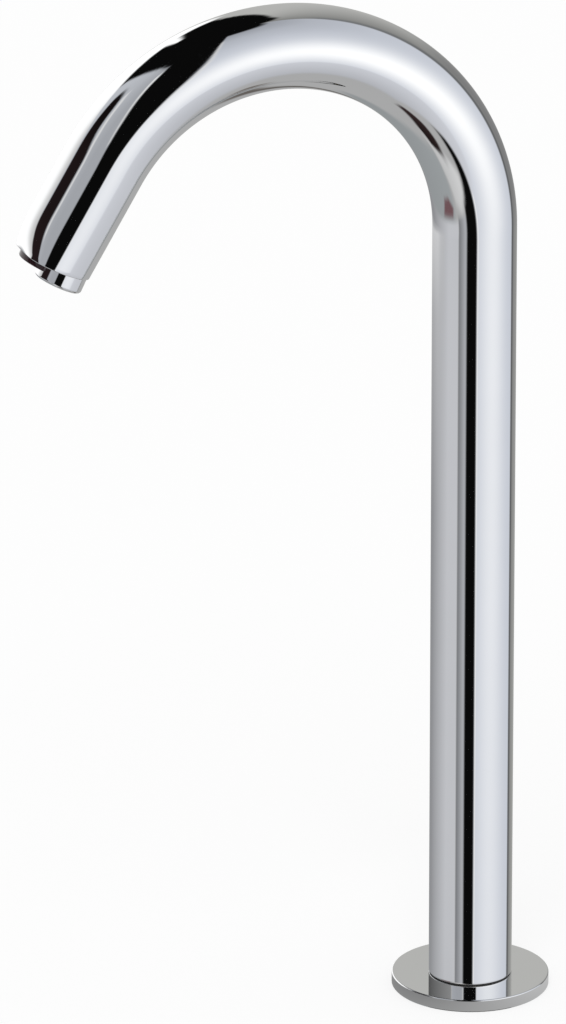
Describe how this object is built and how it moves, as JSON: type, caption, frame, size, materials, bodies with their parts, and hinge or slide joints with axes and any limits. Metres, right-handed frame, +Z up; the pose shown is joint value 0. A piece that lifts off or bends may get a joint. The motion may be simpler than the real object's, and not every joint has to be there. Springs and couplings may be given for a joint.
{
  "type": "sensor tap",
  "caption": "Tall swan-neck touch-free washbasin tap: a bent round chrome tube on a round deck flange, with an infrared window beside a small aerator in its end.",
  "frame": {"origin": "centre of the flange's underside, on the deck's top surface", "axes": "+Z up along the upright tube; the spout reaches towards -X; mirror-symmetric about the plane Y = 0"},
  "size_m": [0.1837, 0.053, 0.4277],
  "materials": {
    "chrome": "mirror-polished chrome plate on brass",
    "brass": "machined brass",
    "steel": "stainless steel",
    "black_rubber": "matt black rubber",
    "black_plastic": "moulded black plastic",
    "white_plastic": "moulded white acetal",
    "amber_plastic": "moulded coloured acetal",
    "dark_window": "dark infrared-passing plastic, polished",
    "clear_diode": "clear moulded diode",
    "red_diode": "red moulded diode",
    "board": "green circuit board",
    "hose": "translucent drinking-water hose",
    "seal": "red-brown fibre seal"
  },
  "bodies": {
    "spout": {"base_flange": "chrome", "deck_gasket": "black_rubber", "foot_ring": "black_rubber", "spout_tube": "chrome", "foot_socket": "brass", "threaded_shank": "brass", "shank_plug": "black_plastic", "inlet_nipple": "brass", "cable_gland": "black_rubber", "water_hose": "hose", "sensor_lead": "black_rubber", "lower_ferrule": "steel", "upper_ferrule": "steel", "outlet_block": "black_plastic", "block_nipple": "brass", "nipple_seal": "seal", "block_screw": "steel", "sensor_case": "black_plastic", "sensor_window": "dark_window", "sensor_board": "board", "ir_emitter": "clear_diode", "ir_receiver": "dark_window", "status_light": "red_diode", "case_potting": "black_plastic", "lead_boot": "black_rubber"},
    "aerator_core": {"aerator_washer": "black_rubber", "inlet_strainer": "steel", "flow_disc": "amber_plastic", "aerator_cartridge": "white_plastic", "outlet_screens": "steel"},
    "aerator_sleeve": {"aerator_housing": "chrome"},
    "deck_washers": {"rubber_washer": "black_rubber", "steel_washer": "steel"},
    "nut": {"lock_nut": "brass"}
  },
  "joints": [
    {"name": "aerator_travel", "type": "slide", "parent": "spout", "child": "aerator_core", "axis": [-0.4368, 0, -0.8996], "range_m": [0, 0.006]},
    {"name": "aerator_turn", "type": "hinge", "parent": "aerator_core", "child": "aerator_sleeve", "pos_m": [-0.14225, 0, 0.27264], "axis": [-0.4368, 0, -0.8996], "range_deg": [0, 2160]},
    {"name": "washer_travel", "type": "slide", "parent": "spout", "child": "deck_washers", "axis": [0, 0, -1], "range_m": [-0.0255, 0.0255]},
    {"name": "nut_turn", "type": "hinge", "parent": "deck_washers", "child": "nut", "pos_m": [0, 0, -0.038], "axis": [0, 0, -1], "range_deg": [-6120, 6120]}
  ],
  "couplings": [
    {"joint": "aerator_travel", "follows": "aerator_turn", "m_per_rad": 0.00015915},
    {"joint": "washer_travel", "follows": "nut_turn", "m_per_rad": 0.00023873}
  ]
}
